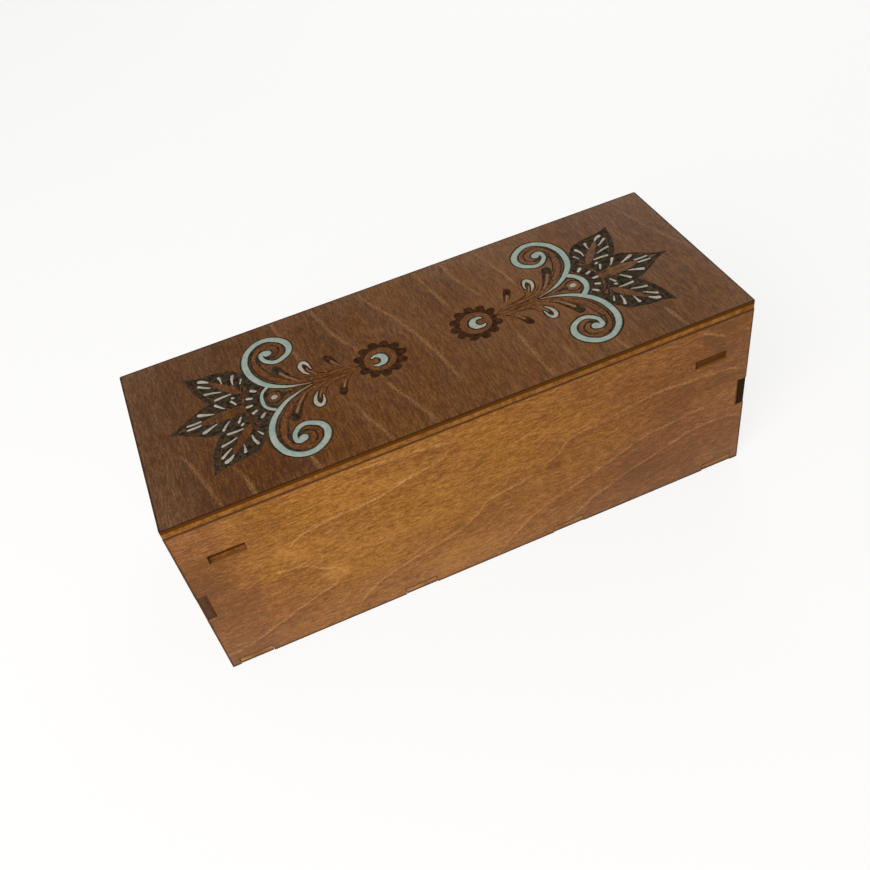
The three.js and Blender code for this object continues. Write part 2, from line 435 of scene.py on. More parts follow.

# The front's zones. Tone darkens or lightens the stain. It soaked in deeper at the left end, and is worn
# towards both ends. It is lighter left of the middle and darker over the right third. That is partly a
# deeper stain, and partly painted light and painted shade, where the light falls off to the right. Its
# greyer, rosier lower part is painted sheen.
FRONT_ZONES = [
    # Partly painted light and shade: lighter left of the middle, darker towards the right
    ("tone", "along", [(-120, 0), (-90, 0.02), (-60, 0.06), (-35, 0.08), (0, 0), (40, -0.02), (80, -0.04),
                       (120, -0.04)]),
    # Deeper stain at the left end. Over the right third, a darker stain that is partly painted shade
    ("soaked_and_painted_light", "along", [(-120, 0.95), (-110, 0.85), (-100, 0.5), (-86, 0.08), (-40, 0), (20, 0.12),
                         (50, 0.4), (75, 0.8), (120, 0.8)]),
    ("smoke", "across", [(0, 0.95), (0.8, 0.85), (1.5, 0.1), (3, 0), (86, 0)]),
    # Painted sheen: greyer and rosier towards the lower edge
    ("soaked_and_painted_light", "across", [(0, 0.45), (14, 0.36), (28, 0.2), (46, 0.02), (60, -0.05), (86, -0.05)]),
    ("worn_and_sheen", "along", [(-120, 0.016), (-100, 0.006), (-80, 0), (85, 0), (104, 0.008), (120, 0.018)]),
    # Painted sheen: paler and greyer towards the lower edge
    ("worn_and_sheen", "across", [(0, 0.045), (8, 0.036), (24, 0.016), (44, 0.006), (65, 0), (86, 0)]),
]

# The golden glow at the point of the flames on the left, dark knots, and wider patches: the middle
# and radius in millimetres, and what each adds to the tone
FRONT_SPOTS = [
    (-67, 33, 7, 0.3), (-82, 55, 8, 0.16), (27.6, 43, 1.5, -0.5), (31.8, 43, 1.8, -0.55),
    (29.8, 43, 4, -0.12), (-41, 11, 1.6, -0.4), (-36, 9, 1.4, -0.4), (-38, 11, 6, -0.12),
    (-75, 19, 1.3, -0.45), (-37, 26, 1.2, -0.35), (40, 43, 3, -0.15), (70, 22, 14, -0.12),
    (84, 48, 12, -0.1), (102, 9, 7, 0.16), (-113, 59, 15, -0.3), (-110, 36, 16, -0.12),
    (109, 80, 15, -0.28), (0, 8, 16, 0.14), (-82, 82, 16, -0.12), (-20, 8, 12, 0.08),
]

# The lid's pale streaks, in millimetres from its middle, the grain's way first
LID_FLAMES = [
    [(-46, -96.7), (-38.7, -98.1), (-24.4, -101.7), (-12, -105.5)],
    [(-46, -83.9), (-38.7, -85.3), (-28, -88)], [(-46, -59.5), (-34, -61.6)],
    [(12, -49), (30, -52.5), (46, -55)], [(-46, -31.4), (-38.7, -33.1), (-27.3, -36.7), (-17.3, -39.6)],
    [(6, -25.5), (21, -31.7), (31, -34.6), (46, -37.2)],
    [(-46, -13.5), (-41.6, -14.6), (-30, -18.1), (-21.6, -21), (-11.6, -24)],
    [(-32, 3.2), (-23, 2.1), (-13, 1.1), (0, -1.7), (17, -6), (28.4, -10.3), (40, -14.6), (46, -16)],
    [(14, 15.4), (25.6, 13.3), (40, 11.1), (46, 10.5)],
    [(14, 29.4), (28.4, 25.4), (41.3, 23.3), (46, 22.6)], [(-46, 34), (-33, 33.3), (-14, 32.4)],
    [(14, 45.5), (31, 42), (44, 39.5)], [(-46, 46.3), (-28, 43.6)],
    [(-46, 65.2), (-33, 62.6), (-26, 60.5)], [(-46, 90.6), (-31, 88.6)],
    [(-2, 119), (11, 113.5), (22, 110.5), (32.7, 107.6), (41, 106)],
]

# The lid's stain soaked in deeper at the left end, and is lightest right of the middle of its front. Towards
# the back it is painted greyer and paler as painted sheen, and its greying at the right end is partly
# painted sheen.
LID_ZONES = [
    ("tone", "across", [(-120, -0.06), (-85, -0.16), (-50, 0), (10, 0.1), (55, 0.16), (90, 0),
                        (120, 0.1)]),
    ("tone", "along", [(-46, 0.1), (-30, 0), (20, 0), (46, 0.06)]),
    # Painted sheen: greyer towards the back
    ("soaked_and_painted_light", "along", [(-46, 0.1), (-38, 0), (0, 0.1), (30, 0.35), (46, 0.55)]),
    ("soaked_and_painted_light", "across", [(-120, 0.9), (-108, 0.65), (-94, 0.15), (-60, 0), (60, 0), (100, 0.25),
                          (120, 0.45)]),
    # Painted sheen: paler towards the back
    ("worn_and_sheen", "along", [(-46, 0), (30, 0), (40, 0.004), (46, 0.008)]),
    # Paler at both ends, at the right end partly as painted sheen
    ("worn_and_sheen", "across", [(-120, 0.006), (-100, 0), (96, 0), (112, 0.008), (120, 0.02)]),
]

# The laser charred the tenons' ends. Those of the side panels and the shelves are also painted darker as
# painted shade in their notches and slots, most of all the right ones.
LEFT_END_STAIN_AND_SHADE = dict(WALL_STAIN, tenon=("#4b3426", "#5b4130"))
# Painted shade: the right side panel's tenon ends nearly black
RIGHT_END_STAIN_AND_SHADE = dict(WALL_STAIN, tenon=("#2b2018", "#33271c"))
BOTTOM_STAIN = dict(INNER_STAIN, tenon=("#63402a", "#a87f58"))
LEFT_SHELF_STAIN_AND_SHADE = dict(INNER_STAIN, tenon=("#4c290c", "#82542c"))
# Painted shade: the right shelf's tenon ends dark
RIGHT_SHELF_STAIN_AND_SHADE = dict(INNER_STAIN, tenon=("#553416", "#5c3a1a"))

# How far the tenons of the side and bottom panels and of the shelves stand out, in millimetres
WALL_TENON = 3.7
SHELF_TENON = 3.0

SIDE_PANEL = dict(rings=6.0, tenons=(WALL_TENON, 0.0))
INNER_BOARD = dict(rings=5.0, roughness=0.62)
SHELF = dict(INNER_BOARD, tenons=(SHELF_TENON, 0.0))
BOTTOM = dict(INNER_BOARD, tenons=(WALL_TENON, WALL_TENON), core_rise=0.3)

# The finish of each board: the node, the finish's name, the axes, the stain, and what sets it apart
FINISHES = [
    ("front_panel", "front", "XZY", WALL_STAIN,
     dict(flames=FRONT_FLAMES, flame_width=1.15, zones=FRONT_ZONES, spots=FRONT_SPOTS)),
    ("back_panel", "back", "XZY", WALL_STAIN, dict(rings=6.0, seed=0.31)),
    ("left_side_panel", "left_end", "YZX", LEFT_END_STAIN_AND_SHADE, dict(SIDE_PANEL, seed=0.83)),
    ("right_side_panel", "right_end", "YZX", RIGHT_END_STAIN_AND_SHADE, dict(SIDE_PANEL, seed=0.97)),
    ("bottom_panel", "bottom", "XYZ", BOTTOM_STAIN, dict(BOTTOM, seed=0.47)),
    # The left shelf's light ply lies low, so that its tenon's upper part is painted dark as the shadow under
    # its slot's top edge
    ("left_end_shelf", "left_shelf", "YXZ", LEFT_SHELF_STAIN_AND_SHADE, dict(SHELF, core_rise=-0.9, seed=0.59)),
    ("right_end_shelf", "right_shelf", "YXZ", RIGHT_SHELF_STAIN_AND_SHADE, dict(SHELF, seed=0.63)),
    ("lid_locating_board", "locating_board", "XYZ", INNER_STAIN, dict(INNER_BOARD, seed=0.71)),
]
for node_name, finish, axes, stain, details in FINISHES:
    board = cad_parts[node_name].data
    board.materials.clear()
    board.materials.append(stained_birch(f"stained_birch_{finish}", node_name, axes, stain, **details))

# The lid board's finish goes on the carved board that takes its place
lid_wood = stained_birch("stained_birch_lid", "lid_board", "YXZ", LID_STAIN, LID_FLAMES, 1.4, LID_ZONES,
                         roughness=0.5, core_rise=-0.5, seed=0.17)


# Burnt lines and paint

# Their patterns, as the wood's: width, length, detail and distortion
CHAR_TOUCHES = (1.6, 1.6, 4.0)
SCORCH_TOUCHES = (1.5, 1.5, 3.0)
PAINT_STREAKS = (2.6, 2.6, 3.0, 0.8)
BRISTLE_MARKS = (0.5, 0.5, 2.0)
CHAR_RELIEF = {"Strength": 0.4, "Distance": 0.06 * MM}
BRISTLE_RELIEF = {"Strength": 0.3, "Distance": 0.05 * MM}

# The burnt wood's colours where the hot tip dwelt and where it was lifted, at these levels of the
# touches
BROWN_CHAR = ("#241407", "#4a2e18")
BLACK_CHAR = ("#1c160e", "#473b2d")
SCORCH = ("#4a280c", "#7e4f27")
TOUCH_STOPS = (0.33, 0.7)

# Over this stretch from the middle of the lid, the char turns from brown to nearly black
LEAVES_START = (42 * MM, 64 * MM)

# The paint's streaks run between these levels
STREAK_LEVELS = (0.3, 0.7)

# Where both scrolls of a spray start, in millimetres along and across, and how the paint is thinned
# round that place
SCROLL_START = (50, 0)
THINNED_UNTIL = (2.5 * MM, 9.5 * MM)
THINNING = 0.8
THINNED_BROWN = "#8c6846"


def lid_places(add):
    """A place on the lid, how far out from the middle it is, and the same place with its X made
    positive, because the two sprays are mirrored."""
    place = add("TexCoord").outputs["Object"]
    parts = add("SeparateXYZ", place)
    outwards = add("Math.ABSOLUTE", parts.outputs["X"])
    return place, outwards, add("CombineXYZ", outwards, parts.outputs["Y"], parts.outputs["Z"])


def burnt_wood():
    """Pyrography: charred birch, nearly black and matt. It's browner on the small marks near the
    rosette, where the tip was held for a shorter time, than in the leaves."""
    material, add, shader = new_material("charred_birch")
    place, outwards, _ = lid_places(add)
    touch = stretched_noise(add, place, *CHAR_TOUCHES)
    in_leaves = add("MapRange", outwards, *LEAVES_START)
    chars = [ramp(add, touch, colours, TOUCH_STOPS) for colours in (BROWN_CHAR, BLACK_CHAR)]
    colour = add("Mix.RGBA", in_leaves, *chars)
    bump = add("Bump", inputs={"Height": touch, **CHAR_RELIEF})
    feed(shader, {"Base Color": colour, "Roughness": 0.75, "Specular IOR Level": 0.05, "Normal": bump})
    return material


def scorched_wood():
    """Lightly scorched birch: orange-brown lines, where the hot tip only passed over."""
    material, add, shader = new_material("scorched_birch")
    touch = stretched_noise(add, add("TexCoord").outputs["Object"], *SCORCH_TOUCHES)
    colour = ramp(add, touch, SCORCH, TOUCH_STOPS)
    feed(shader, {"Base Color": colour, "Roughness": 0.55, "Specular IOR Level": WOOD_SHEEN})
    return material


def acrylic_paint(name, body, streak):
    """Hand-brushed acrylic: opaque, satin, and unevenly mixed, so that it shows paler streaks. It's
    thinned to the brown of the wood where the scrolls start."""
    material, add, shader = new_material(name)
    place, _, mirrored_place = lid_places(add)
    mixed = add("MapRange", stretched_noise(add, place, *PAINT_STREAKS), *STREAK_LEVELS)
    colour = add("Mix.RGBA", mixed, linear(body), linear(streak))
    start = (SCROLL_START[0] * MM, SCROLL_START[1] * MM, LID_TOP)
    away = add("VectorMath.DISTANCE", mirrored_place, start)
    thinning = add("MapRange", away, *THINNED_UNTIL, THINNING, 0.0)
    colour = add("Mix.RGBA", thinning, colour, linear(THINNED_BROWN))
    bristles = stretched_noise(add, place, *BRISTLE_MARKS)
    bump = add("Bump", inputs={"Height": bristles, **BRISTLE_RELIEF})
    feed(shader, {"Base Color": colour, "Roughness": 0.5, "Specular IOR Level": 0.2, "Normal": bump})
    return material


char = burnt_wood()
scorch = scorched_wood()
turquoise = acrylic_paint("turquoise_acrylic", "#7a978f", "#a3a69c")
white = acrylic_paint("white_acrylic", "#858a80", "#b6ad9d")
thinned = acrylic_paint("thinned_acrylic", "#6c4a2b", "#8b6b4f")


# The ornament. A stroke is a list of points (along, across, width) in millimetres: along runs from
# the middle of the lid to its end, across runs from the box's long axis to either side. A leaf is an
# outline of points without a width.


def mirrored(stroke):
    return [(p[0], -p[1], *p[2:]) for p in stroke]


def both_sides(strokes):
    return list(strokes) + [mirrored(stroke) for stroke in strokes]


def widened(stroke, extra):
    return [(along, across, width + extra) for along, across, width in stroke]


def round_a_middle(middle, radius, degrees):
    angle = math.radians(degrees)
    return middle[0] + radius * math.cos(angle), middle[1] + radius * math.sin(angle)


def circle(middle, radius, width, steps):
    return [(*round_a_middle(middle, radius, step * 360 / steps), width) for step in range(steps)]


ROSETTE = (20.7, -0.6)
ROSETTE_DISC = 6.6
PEARL = (64.9, 0.1)

VOLUTE = [
    (49.6, 0.6, 0.4), (54, 1.7, 0.7), (57, 2.7, 1.1), (60.5, 4.4, 1.6), (65.2, 8, 2.2), (69, 13, 2.5),
    (71, 20, 2.6), (70.3, 27.4, 2.6), (66.8, 33, 2.5), (61, 35.7, 2.5), (55.4, 33.8, 2.7),
    (51.8, 28.8, 2.8), (52.4, 24.2, 2.5), (55.3, 21.3, 2.2), (58.9, 20.3, 2.1), (62.2, 22.1, 2),
    (63.6, 25.4, 1.8), (62.8, 27.9, 2.3), (60.7, 27.1, 3.7),
]
VOLUTE_OUTLINE = 1.4
VOLUTE_COIL_FILL = [(58.2, 23.7, 0.9), (60.3, 23.9, 1.9), (62, 25, 2)]
VOLUTE_WARM_BAND = [
    (53.4, 3.4, 0.7), (58.6, 6.9, 1.5), (63.2, 11.8, 2), (66.4, 18, 2.3), (67, 24, 2.3), (65.4, 29.2, 2.2),
    (62.2, 31.7, 2), (58.6, 31.8, 1.9), (55.9, 29.8, 1.8), (55.2, 26.8, 1.2),
]
VOLUTE_INNER_LINES = [
    [(56.4, 7.6, 0.3), (61.4, 12.6, 0.5), (64.4, 18, 0.7), (65.2, 23.4, 0.6), (64.6, 27.6, 0.3)],
    [(60.4, 6.9, 0.3), (64.8, 11.1, 0.7), (67.8, 17.4, 0.9), (68.5, 23.4, 0.9), (67.2, 29, 0.8),
     (64, 32.4, 0.7), (60.4, 33.4, 0.3)],
    [(60.6, 31.8, 0.3), (57, 30.6, 0.7), (55.8, 28, 0.9), (56.4, 25.2, 0.9), (58.4, 23.6, 0.4)],
    [(62.6, 30.6, 0.3), (65.2, 27.4, 0.7), (65.9, 23, 0.8), (64.6, 19.4, 0.3)],
    [(53.6, 4.4, 0.3), (57.2, 7, 0.4), (61, 10.8, 0.5), (64.4, 15.4, 0.3)],
]

STEM_BAND = [
    [(28.6, -0.5, 0.8), (33, -0.5, 1.7), (39, -0.2, 1.9), (45, 0.1, 1.9), (51, 0.3, 1)],
    [(31.5, 0.3, 0.6), (36, 1.4, 1.4), (42, 2.2, 1.6), (48, 2.9, 1.2), (52.5, 3.2, 0.5)],
    [(31.5, -1.3, 0.6), (36, -2, 1.4), (42, -2.4, 1.6), (48, -2.8, 1.2), (52.5, -3.2, 0.5)],
    [(38, 2.6, 0.6), (43, 3.8, 1.3), (47, 5.4, 0.6)], [(38, -3, 0.6), (43, -4, 1.3), (46.6, -5.8, 0.6)],
    [(29.6, 0.6, 0.5), (32.6, 1.5, 0.9), (35.4, 3.6, 0.6)],
    [(29.6, -1.5, 0.5), (32.6, -2.5, 0.9), (35.2, -4.6, 0.6)],
    *both_sides([[(47, 1.6, 0.5), (51.4, 3.8, 1.2), (55.2, 7, 0.6)]]),
]
STEM_DARK_LINES = [
    [(28.2, -0.4, 0.7), (29.6, -0.4, 0.9), (31.4, -0.4, 0.4)],
    [(31.6, 0.5, 0.3), (36, 0.7, 0.4), (42, 1.1, 0.4), (48, 1.8, 0.4), (52.4, 3.2, 0.4), (55.4, 5, 0.3)],
    [(32.4, -1.4, 0.3), (38, -1.3, 0.4), (44, -1.2, 0.4), (50, -1.4, 0.4), (55, -3.2, 0.4),
     (58, -5.4, 0.3)],
    [(50.4, 0.1, 0.3), (53, 0.1, 0.5), (55, 0.1, 0.5)],
    [(33, 1.9, 0.3), (38, 3, 0.4), (42.6, 3.4, 0.5), (45.4, 5, 0.5), (46.2, 7, 0.4)],
    [(33, -2.7, 0.3), (37.4, -3.2, 0.4), (42.4, -3.8, 0.5), (45, -5.8, 0.5), (46, -8, 0.4)],
    [(42.6, -2, 0.3), (46.4, -3.4, 0.4), (50, -5.2, 0.4), (52.4, -7.6, 0.3)],
    [(43, 2.4, 0.3), (47, 3.6, 0.4), (50.6, 5.2, 0.4), (53, 7.8, 0.3)],
    [(31, 0.9, 0.3), (34, 2, 0.4), (36, 4, 0.4)], [(31, -1.9, 0.3), (33.6, -3, 0.4), (35.6, -5.2, 0.4)],
    [(39, 0.4, 0.3), (44, 0.8, 0.4), (49.6, 1, 0.3)],
    [(36.4, -0.3, 0.3), (41, -0.5, 0.4), (47.6, -0.3, 0.3)],
]
SMALL_DROP = [(38.9, 8.8, 2), (39.4, 10.2, 3.5), (39.9, 11.3, 3.4)]
SMALL_DROP_SHADOWS = [
    [(35.6, 4.8, 0.3), (37, 7.4, 0.7), (38.2, 10.2, 1)],
    [(38.4, 5.8, 0.3), (39.9, 8, 0.6), (40.6, 10, 0.8)],
]
SMALL_DROP_TAIL = [(33, 1.2, 0.6), (36.2, 4, 0.9), (37.8, 6.4, 1.1), (38.8, 8.6, 1.3)]
SMALL_DROP_TIP = [(36.6, 4.8, 0.3), (37.7, 6.6, 0.6), (38.6, 8.5, 0.9)]
LOOP_DROP = [
    (47.3, 8.4, 0.4), (47.5, 10.2, 0.7), (48.1, 12.3, 1.2), (49.5, 13.6, 1.8), (50.9, 12.2, 1.8),
    (50.9, 9.8, 1.5), (50.1, 7.6, 1.1), (48.8, 5.9, 0.5),
]
LOOP_DROP_OUTLINE = 1.3
LOOP_DROP_INSIDE = [(49.3, 11.9, 1), (49.2, 10.4, 0.9), (48.8, 8.6, 0.4)]
LOOP_DROP_TAIL = [(43, 3.4, 0.8), (46, 5.2, 1.2), (48.2, 8, 1), (49.1, 11, 0.6)]
LOOP_DROP_TIP = [(46.9, 5.4, 0.3), (48.1, 7.2, 0.5), (49, 9.4, 0.4)]
LONG_DROP = [(58.4, 11.2, 2), (59.5, 13.6, 4), (60.1, 15.4, 4.1)]
LONG_DROP_SHADOWS = [
    [(51.8, 4, 0.3), (54.8, 7.4, 0.8), (57.2, 11.4, 1.4), (58.8, 14.6, 1.6)],
    [(56, 5, 0.3), (59, 8.8, 0.5), (60.9, 12.4, 0.9)],
]
LONG_DROP_STREAK = [(51.4, 2.6, 0.5), (54.4, 4.8, 0.9), (57.2, 8.6, 1.3), (59.2, 12.4, 1.7)]
LONG_DROP_TIP = [(53.6, 4.4, 0.3), (56.8, 8.1, 0.8), (59.1, 12.3, 1.2)]

PEARL_DISC = 3.3
DARK_DOTS = [[(60.5, 0.1, 2.2), (61.3, 0.1, 2.5)], [(58.4, 0, 1.5), (58.9, 0, 1.6)],
             [(56.6, 0, 0.8), (57, 0, 0.9)]]
ARC = [(66.3, 7, 1.9), (68.7, 4.6, 1.7), (69.9, 0.2, 2.1), (69, -4.2, 1.7), (66.5, -7, 1.9)]
ARC_OUTLINE = 2.4

# By how much the right spray's arc is painted wider than drawn, and the left one's narrower
ARC_DIFFERENCE = 0.5

ARC_BAND = [(69.6, 9.2, 2.6), (73.2, 5.6, 4.6), (74.6, 0, 5), (73.2, -5.6, 4.6), (69.6, -9.2, 2.6)]
ARC_DABS = [
    [(71, 7.2, 1.2), (72.4, 8.4, 1.5)], [(73.4, 4.1, 1.2), (74.9, 4.7, 1.4)],
    [(74.2, 0, 1.2), (75.9, 0.1, 1.4)], [(73.2, -3.7, 1.2), (74.6, -4.4, 1.4)],
    [(70.7, -6.9, 1.2), (72, -8.2, 1.4)],
]
BAND_LINE = [(74, 9.4, 0.3), (76.5, 5.6, 0.4), (77.4, 0, 0.4), (76.5, -5.6, 0.4), (74, -9.4, 0.3)]

SIDE_LEAF = [
    (96, 29.3), (91.2, 27.3), (86.4, 26.8), (80.8, 25.7), (76.2, 23.8), (74.2, 20.2), (73.8, 16.4),
    (74.6, 11.6), (78.4, 7), (84.5, 6.6), (89.6, 10.5), (92.6, 15.8), (94.4, 21.6), (95.1, 26),
]
SIDE_LEAF_LINE = [(92.9, 25.8, 0.2), (92.2, 22.4, 0.3), (90.7, 18, 0.3), (88.9, 13.8, 0.3),
                  (87.4, 11.4, 0.2)]
SIDE_LEAF_ROOT = [
    [(72.4, 10.6, 1.6), (75, 8.4, 2.2), (77.4, 5.4, 1.8)],
    [(71, 10.4, 1.8), (73, 12.8, 2.8), (74.6, 15.8, 1.6)], [(77.2, 6.2, 1.8), (79.6, 7.2, 1.8)],
]
SIDE_ROOT_LINE = [(74.4, 14.2, 0.25), (75.9, 11.6, 0.35), (76.3, 8.6, 0.25)]
SIDE_MIDRIB = [
    [(77.2, 10.2, 1.6), (78.8, 12.4, 3.5), (81.6, 15.8, 3.4), (84.4, 19.2, 2.1), (86.8, 22.2, 0.9)],
    [(79.2, 14, 0.9), (78.9, 16.4, 0.4)], [(82, 17.6, 0.9), (82.1, 20, 0.4)],
    [(82.6, 14.6, 0.9), (85.4, 15, 0.3)], [(79.6, 11.4, 1), (82, 11.1, 0.4)],
    [(85, 18.4, 0.9), (87.4, 19.6, 0.3)],
]
SIDE_LEAF_DABS = [
    [(87, 22.6, 0.8), (88.4, 23.8, 1.4), (90.2, 24.7, 1.8)],
    [(86.8, 18.7, 0.4), (88.8, 20.2, 0.9), (90.9, 21.9, 1.3)],
    [(83.6, 14.1, 0.4), (86.2, 15.1, 0.9), (89.5, 15.9, 1.3)],
    [(80.2, 10.8, 0.5), (83.2, 10.9, 1), (86.4, 10.6, 1.2)],
    [(82.1, 18.9, 0.4), (82.2, 21.2, 0.7), (82.4, 22.9, 1.4)],
    [(78, 15.7, 0.4), (77.9, 18.4, 0.9), (77.1, 21, 1.4)], [(75.5, 14.8, 0.4), (74.3, 17.3, 0.9)],
    [(79.8, 8.2, 1), (80.3, 8.4, 1.1)],
]
SIDE_GAP = [(68.4, 9.4, 1.6), (71.2, 12.4, 2.8), (73, 17, 2.2), (74.4, 21, 0.8)]

MIDDLE_LEAF_SIDE = [(104, 1.7), (99.6, 4.4), (95, 7.4), (90.6, 9.3), (85.6, 8.8), (81, 7.2), (77.4, 4.4)]
MIDDLE_LEAF = [(108.8, 0), *MIDDLE_LEAF_SIDE, (77, 0), *mirrored(MIDDLE_LEAF_SIDE)[::-1]]
MIDDLE_MIDRIB = [
    [(78.4, 0, 4), (82, 0, 5), (86.5, 0, 4.8), (90.5, 0, 4), (94.4, 0.2, 1.8)],
    *both_sides([[(82, 1.8, 1), (83.6, 3.6, 0.4)], [(86, 1.6, 1), (88.4, 2.8, 0.4)]]),
    *both_sides([[(90, 0.9, 1), (92.6, 1.5, 0.3)]]),
]
MIDDLE_LEAF_MARKS = [
    [(78.6, 1.1, 0.4), (80.4, 1.6, 0.9), (82.4, 1.5, 0.3)],
    [(78.8, -1, 0.4), (80.6, -1.5, 0.9), (82.8, -1.3, 0.3)],
    [(84.2, 0.3, 0.3), (87, 0.2, 0.5), (90.4, 0.2, 0.3)],
]
MIDDLE_LEAF_LINE = [(94.8, 5.9, 0.2), (98.4, 3.8, 0.3), (101.6, 2, 0.2)]
MIDDLE_LEAF_TIP = [(101, 0.3, 1.5), (102.4, 0.2, 1), (103.6, 0.1, 0.4)]
MIDDLE_LEAF_DABS = [
    [(88.8, 2.9, 0.4), (91.4, 4.1, 1.1), (94.3, 5.3, 1.8)],
    [(84.2, 3.9, 0.4), (85.8, 5.6, 0.9), (87.2, 7.6, 1.3)], [(79.7, 4.1, 0.7), (80.9, 6.5, 1.1)],
]
MIDDLE_TIP_DABS = [
    [(94.4, 1.7, 0.8), (97, 1.4, 1.1), (99.8, 1.5, 0.9)],
    [(95, -0.5, 0.8), (97.4, -0.8, 1.1), (100, -0.7, 0.9)],
]

# The eye of the rosette is a crescent, open on the side of the stem: its middle, how far from it and
# how wide the crescent is, and the share of that width at some degrees
EYE_MIDDLE = (22.1, -0.9)
EYE_RADIUS = 2.8
EYE_WIDTH = 3
EYE_SHARES = ((58, 0.26), (92, 0.5), (135, 0.9), (180, 1), (225, 0.9), (268, 0.5), (302, 0.26))
EYE = [(*round_a_middle(EYE_MIDDLE, EYE_RADIUS, degrees), EYE_WIDTH * share)
       for degrees, share in EYE_SHARES]

# Its outline, a white touch on each tip, and its shade
EYE_OUTLINE = 1.5
EYE_TOUCHES = [
    [(21.2, 2.2, 0.6), (22.4, 2, 1), (23.8, 1.3, 0.7)],
    [(21.4, -4, 0.6), (22.6, -3.9, 1), (24, -3.1, 0.7)],
]
EYE_SHADE = [(24.6, 1.7, 0.4), (25.4, -0.8, 0.9), (24.7, -3.4, 0.4)]

# Petals are rounded marks round a dark ring, with a gap where the stem comes in. Each is a short
# stroke: how far its two points lie outside the disc, and their width
PETALS = 11
FIRST_PETAL = 25.7
PETAL_STEP = 30.9
PETAL_STROKE = ((1.8, 3.69), (2.4, 4.1))
ROSETTE_PETALS = [
    [(*round_a_middle(ROSETTE, ROSETTE_DISC + outside, FIRST_PETAL + step * PETAL_STEP), width)
     for outside, width in PETAL_STROKE]
    for step in range(PETALS)
]

# The rings: their middle, radius, width and number of points
ROSETTE_RING = circle(ROSETTE, ROSETTE_DISC + 1.2, 2.4, 12)
ROSETTE_INNER_RING = circle(ROSETTE, ROSETTE_DISC - 0.8, 0.5, 12)
PEARL_RING = circle(PEARL, PEARL_DISC, 0.9, 8)

PEARL_DAB = [(64.75, 0.1, 2.5), (65.05, 0.1, 2.5)]


class Spray:
    """One of the two sprays: the side of the lid that it lies on, and the hand that drew it."""

    def __init__(self, name, side, seed):
        self.name = name
        self.side = side
        self.hand = random.Random(seed)

    def point(self, along, across, level):
        stray_x, stray_y = (self.hand.uniform(-HAND_WOBBLE, HAND_WOBBLE) for _ in range(2))
        return Vector((self.side * along * MM + stray_x, across * MM + stray_y, level))


def edit_all(item):
    """Starts the edit mode of a mesh, with all of it selected."""
    make_active(item)
    bpy.ops.object.mode_set(mode="EDIT")
    bpy.ops.mesh.select_all(action="SELECT")


def end_edit():
    bpy.ops.object.mode_set(mode="OBJECT")


def new_curve(name, **settings):
    """A curve object at the origin with no spline yet."""
    deselect_all()
    bpy.ops.curve.primitive_bezier_curve_add()
    item = bpy.context.active_object
    item.name = item.data.name = name
    item.data.splines.clear()
    for setting, value in settings.items():
        setattr(item.data, setting, value)
    return item


def add_spline(item, places, closed):
    """Adds a smooth spline through (place, radius) pairs."""
    spline = item.data.splines.new("BEZIER")
    spline.use_cyclic_u = closed
    spline.bezier_points.add(len(places) - 1)
    for point, (place, radius) in zip(spline.bezier_points, places):
        point.co = place
        point.radius = radius
        point.handle_left_type = point.handle_right_type = "AUTO"
    return spline


def round_end(before, last):
    """The points that carry a stroke on past its last one, in a half circle as wide as the stroke."""
    way = (last[0] - before[0]).normalized()
    steps = (math.radians(angle) for angle in ROUND_END_ANGLES)
    return [(last[0] + way * last[1] * math.sin(step), last[1] * math.cos(step)) for step in steps]


def to_mesh(item):
    """Turns a curve into a closed mesh at the origin, its doubles merged and its faces outwards."""
    make_active(item)
    bpy.ops.object.convert(target="MESH")
    edit_all(item)
    bpy.ops.mesh.remove_doubles(threshold=MERGE_DISTANCE)
    bpy.ops.mesh.normals_make_consistent(inside=False)
    end_edit()
    return item


def bars(name, spray, strokes, level, closed=False, **fineness):
    """Round bars along strokes, as wide as they are, with round ends where they are open."""
    item = new_curve(name, dimensions="3D", bevel_depth=1, use_fill_caps=True, **fineness)
    for stroke in strokes:
        places = [(spray.point(along, across, level), width * MM / 2) for along, across, width in stroke]
        if not closed:
            places = round_end(places[1], places[0])[::-1] + places + round_end(places[-2], places[-1])
        add_spline(item, places, closed)
    return to_mesh(item)


def cutters(spray, strokes, closed=False):
    """Round bars along burnt lines, whose lower halves cut the lines into the lid."""
    return [bars("line_cutter", spray, [stroke], LID_TOP, closed, bevel_resolution=2, resolution_u=5)
            for stroke in strokes]


def area_cutter(spray, outline):
    """A flat cutter over a leaf, whose first point is its sharp tip."""
    item = new_curve("area_cutter", dimensions="2D", fill_mode="BOTH", extrude=LEAF_CUTTER_REACH,
                     resolution_u=6)
    places = [(spray.point(along, across, 0), 1) for along, across in outline]
    tip = add_spline(item, places, closed=True).bezier_points[0]
    tip.handle_left_type = tip.handle_right_type = "VECTOR"
    to_mesh(item)
    item.location.z = LID_TOP
    bpy.ops.object.transform_apply(location=True, rotation=False, scale=False)
    return item


def box_between(name, low, high):
    """A box between two corners, at the origin with its place in its mesh."""
    deselect_all()
    bpy.ops.mesh.primitive_cube_add(size=1, location=(low + high) / 2, scale=high - low)
    item = bpy.context.active_object
    item.name = item.data.name = name
    bpy.ops.object.transform_apply(location=True, rotation=False, scale=True)
    return item


def combine(item, others, operation):
    """Joins, cuts or crosses a solid with all of the others, which are then gone."""
    group = bpy.data.collections.new("others")
    for other in others:
        group.objects.link(other)
    make_active(item)
    modifier = item.modifiers.new("combine", "BOOLEAN")
    modifier.operation = operation
    modifier.solver = "MANIFOLD"
    modifier.operand_type = "COLLECTION"
    modifier.collection = group
    bpy.ops.object.modifier_apply(modifier=modifier.name)
    for other in others:
        bpy.data.objects.remove(other)
    bpy.data.collections.remove(group)
    return item


def copy_of(item):
    copied = item.copy()
    copied.data = item.data.copy()
    bpy.context.scene.collection.objects.link(copied)
    return copied


